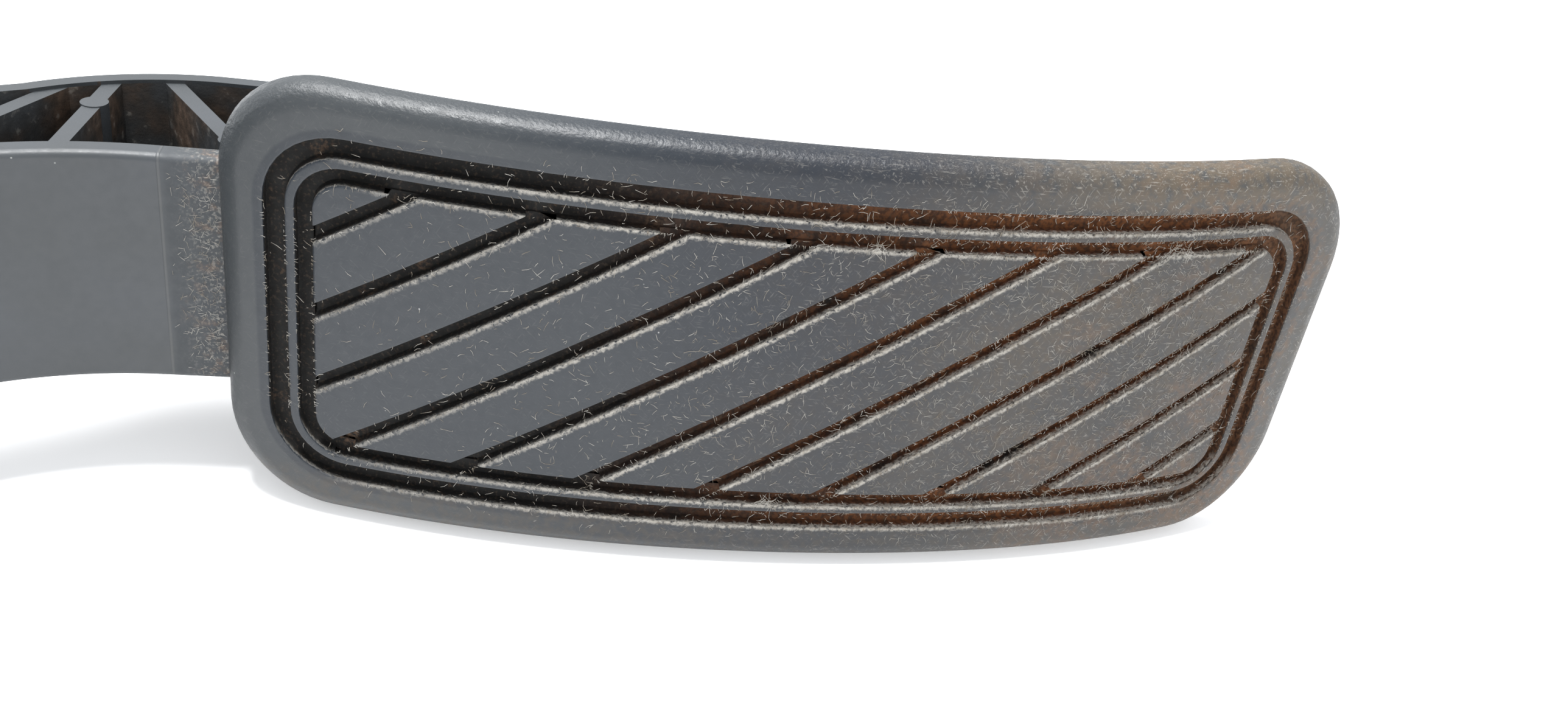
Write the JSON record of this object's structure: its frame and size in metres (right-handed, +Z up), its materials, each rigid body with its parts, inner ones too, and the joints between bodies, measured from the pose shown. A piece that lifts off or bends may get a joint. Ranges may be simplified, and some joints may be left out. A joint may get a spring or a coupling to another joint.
{
  "type": "accelerator pedal",
  "caption": "Hanging accelerator pedal module: bowed pad with a groove pattern on a ribbed arm, pivoting in a bulkhead housing with return springs and a position sensor.",
  "frame": {"origin": "middle of the footprint, on the surface that the pedal lies on", "axes": "+Z up, along the pivot axis, across the pedal; +X from the housing down the arm to the pad; +Y forward to the bulkhead"},
  "size_m": [0.3258, 0.1382, 0.0665],
  "materials": {
    "arm_plastic": "moulded glass-filled nylon, satin",
    "housing_plastic": "moulded glass-filled nylon, satin black",
    "sensor_plastic": "moulded plastic, fine texture",
    "steel": "ground",
    "spring_steel": "drawn wire, oiled",
    "zinc_steel": "zinc plated",
    "bush_plastic": "natural acetal",
    "friction_lining": "pressed friction lining",
    "rubber": "moulded",
    "circuit_board": "solder mask",
    "chip": "moulded epoxy",
    "magnet": "nickel plated",
    "tin_plate": "tin plated"
  },
  "bodies": {
    "housing_body": {"housing": "housing_plastic", "housing_cover": "housing_plastic", "sensor_housing": "sensor_plastic", "sensor_lid": "sensor_plastic", "lever_pin": "steel", "spring_outer": "spring_steel", "spring_inner": "spring_steel", "pivot_bush_lower": "bush_plastic", "pivot_bush_upper": "bush_plastic", "idle_bumper": "rubber", "full_throttle_bumper": "rubber", "sensor_seal": "rubber", "sensor_board": "circuit_board", "hall_chip_1": "chip", "hall_chip_2": "chip", "ear_sleeve_1": "zinc_steel", "sensor_screw_1": "zinc_steel", "ear_sleeve_2": "zinc_steel", "sensor_screw_2": "zinc_steel", "ear_sleeve_3": "zinc_steel", "sensor_screw_3": "zinc_steel", "cover_screw_1": "zinc_steel", "cover_screw_2": "zinc_steel", "cover_screw_3": "zinc_steel", "cover_screw_4": "zinc_steel", "connector_pin_1": "tin_plate", "connector_pin_2": "tin_plate", "connector_pin_3": "tin_plate", "connector_pin_4": "tin_plate", "connector_pin_5": "tin_plate", "connector_pin_6": "tin_plate"},
    "pedal_body": {"pedal_arm": "arm_plastic", "pivot_shaft": "steel", "magnet_carrier": "bush_plastic", "magnet_1": "magnet", "magnet_2": "magnet"},
    "lever_body": {"friction_lever": "bush_plastic", "friction_pad": "friction_lining"}
  },
  "joints": [
    {"name": "pedal_hinge", "type": "hinge", "parent": "housing_body", "child": "pedal_body", "pos_m": [-0.08172, 0.03911, 0.0262], "axis": [0, 0, 1], "range_deg": [0, 15], "stiffness_Nm_per_rad": 8, "springref_deg": -17.19, "deforming": ["spring_outer", "spring_inner"]},
    {"name": "friction_lever_hinge", "type": "hinge", "parent": "housing_body", "child": "lever_body", "pos_m": [-0.13372, 0.02711, 0.0262], "axis": [0, 0, 1], "range_deg": [-14, 0], "deforming": ["spring_outer", "spring_inner"]}
  ],
  "couplings": [
    {"joint": "friction_lever_hinge", "follows": "pedal_hinge", "ratio": -0.91}
  ]
}
